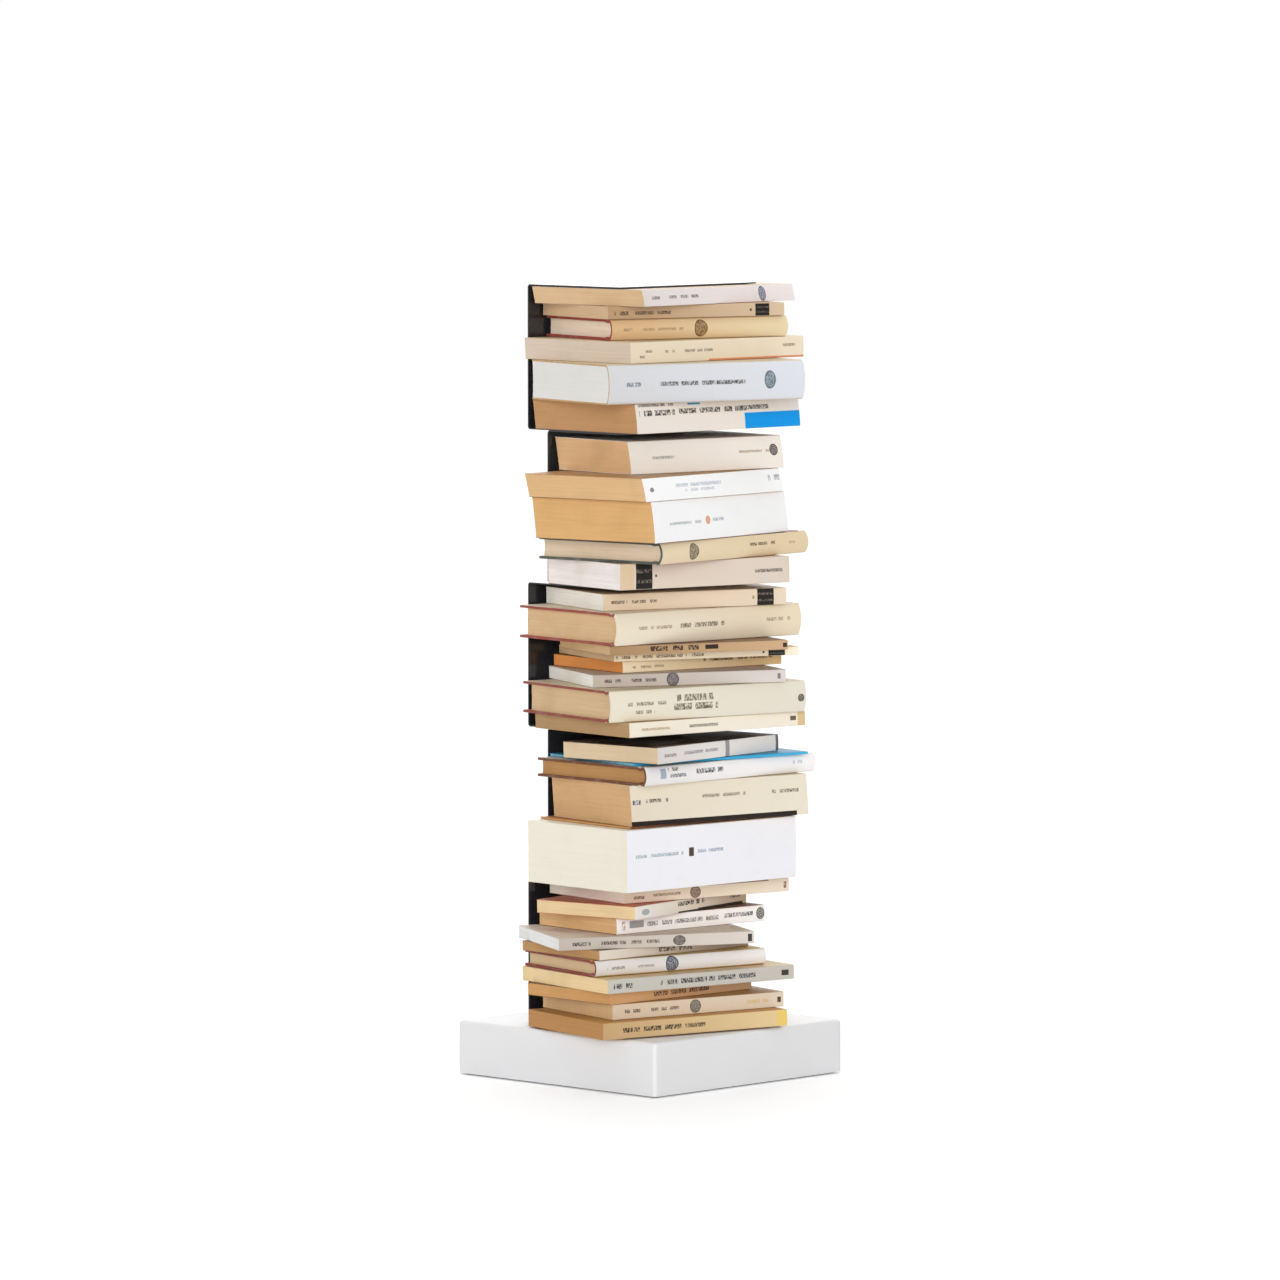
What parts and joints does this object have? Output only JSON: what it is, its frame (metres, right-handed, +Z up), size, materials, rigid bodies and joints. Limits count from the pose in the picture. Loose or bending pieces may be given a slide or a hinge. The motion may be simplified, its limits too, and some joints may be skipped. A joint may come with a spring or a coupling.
{
  "type": "spine bookshelf",
  "caption": "Narrow free-standing column of black folded-steel book bays on a square white plinth, loaded with horizontal stacks of books, spines out.",
  "frame": {"origin": "on the floor under the middle of the square plinth", "axes": "+Z up, -Y to the front where the books' spines face, -X to the side where the books' heads face"},
  "size_m": [0.2841, 0.2596, 0.7272],
  "materials": {
    "lacquer_white": "satin lacquer",
    "black_steel": "fine satin powder coat",
    "raw_steel": "zinc plated",
    "mat_rubber": "matt",
    "page_paper": "stacked leaves, toned with age",
    "paper_white": "coated cover round cream pages",
    "paper_cream": "coated cover round cream pages",
    "paper_grey": "coated cover round cream pages",
    "paper_tan": "coated cover round cream pages",
    "paper_rose": "coated cover round cream pages",
    "paper_yellow": "coated cover round cream pages",
    "paper_blue": "coated cover round cream pages",
    "paper_brown": "coated cover round cream pages",
    "board_red": "cloth covered board round cream pages",
    "board_brown": "cloth covered board round cream pages"
  },
  "bodies": {
    "frame": {"base_shell": "lacquer_white", "ballast_slab": "raw_steel", "underplate": "black_steel", "foot_mat": "mat_rubber", "spacer_posts": "raw_steel", "underplate_screws": "raw_steel", "column_screws": "black_steel", "tray_lower": "black_steel", "link_lower": "black_steel", "tray_middle": "black_steel", "link_upper": "black_steel", "tray_upper": "black_steel", "rivets_joint_1": "black_steel", "rivets_joint_2": "black_steel", "rivets_joint_3": "black_steel", "rivets_joint_4": "black_steel"},
    "book_34_body": {"book_34": "paper_yellow"},
    "book_33_body": {"book_33": "paper_tan"},
    "book_32_body": {"book_32": "paper_brown"},
    "book_31_body": {"book_31": "paper_grey"},
    "book_30_body": {"book_30": "board_red"},
    "book_29_body": {"book_29": "paper_tan"},
    "book_28_body": {"book_28": "paper_rose"},
    "book_27_body": {"book_27": "paper_white"},
    "book_26_body": {"book_26": "paper_white"},
    "book_25_body": {"book_25": "paper_tan"},
    "book_24_body": {"book_24": "paper_white"},
    "booklet_body": {"booklet": "paper_tan"},
    "book_23_body": {"book_23": "paper_cream"},
    "book_22_body": {"book_22": "board_brown"},
    "book_21_body": {"book_21": "paper_blue"},
    "book_20_body": {"book_20": "paper_grey"},
    "book_19_body": {"book_19": "paper_cream"},
    "book_18_body": {"book_18": "board_red"},
    "book_17_body": {"book_17": "paper_grey"},
    "book_16_body": {"book_16": "paper_yellow"},
    "book_15_body": {"book_15": "paper_cream"},
    "book_14_body": {"book_14": "paper_cream"},
    "book_13_body": {"book_13": "board_red"},
    "book_12_body": {"book_12": "paper_cream"},
    "book_11_body": {"book_11": "paper_cream"},
    "book_10_body": {"book_10": "paper_grey"},
    "book_09_body": {"book_09": "paper_white"},
    "book_08_body": {"book_08": "paper_white"},
    "book_07_body": {"book_07": "paper_cream"},
    "book_06_body": {"book_06": "paper_white"},
    "book_05_body": {"book_05": "paper_grey"},
    "book_04_body": {"book_04": "paper_cream"},
    "book_03_body": {"book_03": "board_red"},
    "book_02_body": {"book_02": "paper_cream"},
    "book_01_body": {"book_01": "paper_white"}
  },
  "joints": [
    {"name": "book_01_slide", "type": "slide", "parent": "frame", "child": "book_01_body", "axis": [0.0384, -0.9993, 0], "range_m": [0, 0.16]},
    {"name": "book_02_slide", "type": "slide", "parent": "frame", "child": "book_02_body", "axis": [-0.2639, -0.9646, 0], "range_m": [0, 0.16]},
    {"name": "book_03_slide", "type": "slide", "parent": "frame", "child": "book_03_body", "axis": [-0.2639, -0.9646, 0], "range_m": [0, 0.16]},
    {"name": "book_04_slide", "type": "slide", "parent": "frame", "child": "book_04_body", "axis": [-0.0628, -0.998, 0], "range_m": [0, 0.16]},
    {"name": "book_05_slide", "type": "slide", "parent": "frame", "child": "book_05_body", "axis": [-0.2571, -0.9664, 0], "range_m": [0, 0.16]},
    {"name": "book_06_slide", "type": "slide", "parent": "frame", "child": "book_06_body", "axis": [-0.0366, -0.9993, 0], "range_m": [0, 0.16]},
    {"name": "book_07_slide", "type": "slide", "parent": "frame", "child": "book_07_body", "axis": [-0.1374, -0.9905, 0], "range_m": [0, 0.16]},
    {"name": "book_08_slide", "type": "slide", "parent": "frame", "child": "book_08_body", "axis": [0.1167, -0.9932, 0], "range_m": [0, 0.16]},
    {"name": "book_09_slide", "type": "slide", "parent": "frame", "child": "book_09_body", "axis": [0.1374, -0.9905, 0], "range_m": [0, 0.16]},
    {"name": "book_10_slide", "type": "slide", "parent": "frame", "child": "book_10_body", "axis": [0.0889, -0.996, 0], "range_m": [0, 0.16]},
    {"name": "book_11_slide", "type": "slide", "parent": "frame", "child": "book_11_body", "axis": [-0.2028, -0.9792, 0], "range_m": [0, 0.16]},
    {"name": "book_12_slide", "type": "slide", "parent": "frame", "child": "book_12_body", "axis": [-0.3322, -0.9432, 0], "range_m": [0, 0.16]},
    {"name": "book_13_slide", "type": "slide", "parent": "frame", "child": "book_13_body", "axis": [-0.1323, -0.9912, 0], "range_m": [0, 0.16]},
    {"name": "book_14_slide", "type": "slide", "parent": "frame", "child": "book_14_body", "axis": [-0.3665, -0.9304, 0], "range_m": [0, 0.16]},
    {"name": "book_15_slide", "type": "slide", "parent": "frame", "child": "book_15_body", "axis": [-0.3486, -0.9373, 0], "range_m": [0, 0.16]},
    {"name": "book_16_slide", "type": "slide", "parent": "frame", "child": "book_16_body", "axis": [-0.1908, -0.9816, 0], "range_m": [0, 0.16]},
    {"name": "book_17_slide", "type": "slide", "parent": "frame", "child": "book_17_body", "axis": [-0.4337, -0.9011, 0], "range_m": [0, 0.16]},
    {"name": "book_18_slide", "type": "slide", "parent": "frame", "child": "book_18_body", "axis": [-0.2062, -0.9785, 0], "range_m": [0, 0.16]},
    {"name": "book_19_slide", "type": "slide", "parent": "frame", "child": "book_19_body", "axis": [-0.1184, -0.993, 0], "range_m": [0, 0.16]},
    {"name": "book_20_slide", "type": "slide", "parent": "frame", "child": "book_20_body", "axis": [0.0924, -0.9957, 0], "range_m": [0, 0.16]},
    {"name": "book_21_slide", "type": "slide", "parent": "frame", "child": "book_21_body", "axis": [-0.1633, -0.9866, 0], "range_m": [0, 0.16]},
    {"name": "book_22_slide", "type": "slide", "parent": "frame", "child": "book_22_body", "axis": [-0.0436, -0.999, 0], "range_m": [0, 0.16]},
    {"name": "book_23_slide", "type": "slide", "parent": "frame", "child": "book_23_body", "axis": [-0.1822, -0.9833, 0], "range_m": [0, 0.16]},
    {"name": "book_24_slide", "type": "slide", "parent": "frame", "child": "book_24_body", "axis": [-0.0732, -0.9973, 0], "range_m": [0, 0.16]},
    {"name": "book_25_slide", "type": "slide", "parent": "frame", "child": "book_25_body", "axis": [-0.1736, -0.9848, 0], "range_m": [0, 0.16]},
    {"name": "book_26_slide", "type": "slide", "parent": "frame", "child": "book_26_body", "axis": [0.153, -0.9882, 0], "range_m": [0, 0.16]},
    {"name": "book_27_slide", "type": "slide", "parent": "frame", "child": "book_27_body", "axis": [-0.1011, -0.9949, 0], "range_m": [0, 0.16]},
    {"name": "book_28_slide", "type": "slide", "parent": "frame", "child": "book_28_body", "axis": [-0.4602, -0.8878, 0], "range_m": [0, 0.16]},
    {"name": "book_29_slide", "type": "slide", "parent": "frame", "child": "book_29_body", "axis": [-0.1045, -0.9945, 0], "range_m": [0, 0.16]},
    {"name": "book_30_slide", "type": "slide", "parent": "frame", "child": "book_30_body", "axis": [-0.2113, -0.9774, 0], "range_m": [0, 0.16]},
    {"name": "book_31_slide", "type": "slide", "parent": "frame", "child": "book_31_body", "axis": [-0.1891, -0.982, 0], "range_m": [0, 0.16]},
    {"name": "book_32_slide", "type": "slide", "parent": "frame", "child": "book_32_body", "axis": [-0.0436, -0.999, 0], "range_m": [0, 0.16]},
    {"name": "book_33_slide", "type": "slide", "parent": "frame", "child": "book_33_body", "axis": [-0.225, -0.9744, 0], "range_m": [0, 0.16]},
    {"name": "book_34_slide", "type": "slide", "parent": "frame", "child": "book_34_body", "axis": [-0.2351, -0.972, 0], "range_m": [0, 0.16]},
    {"name": "booklet_slide", "type": "slide", "parent": "frame", "child": "booklet_body", "axis": [-0.108, -0.9942, 0], "range_m": [0, 0.16]}
  ]
}
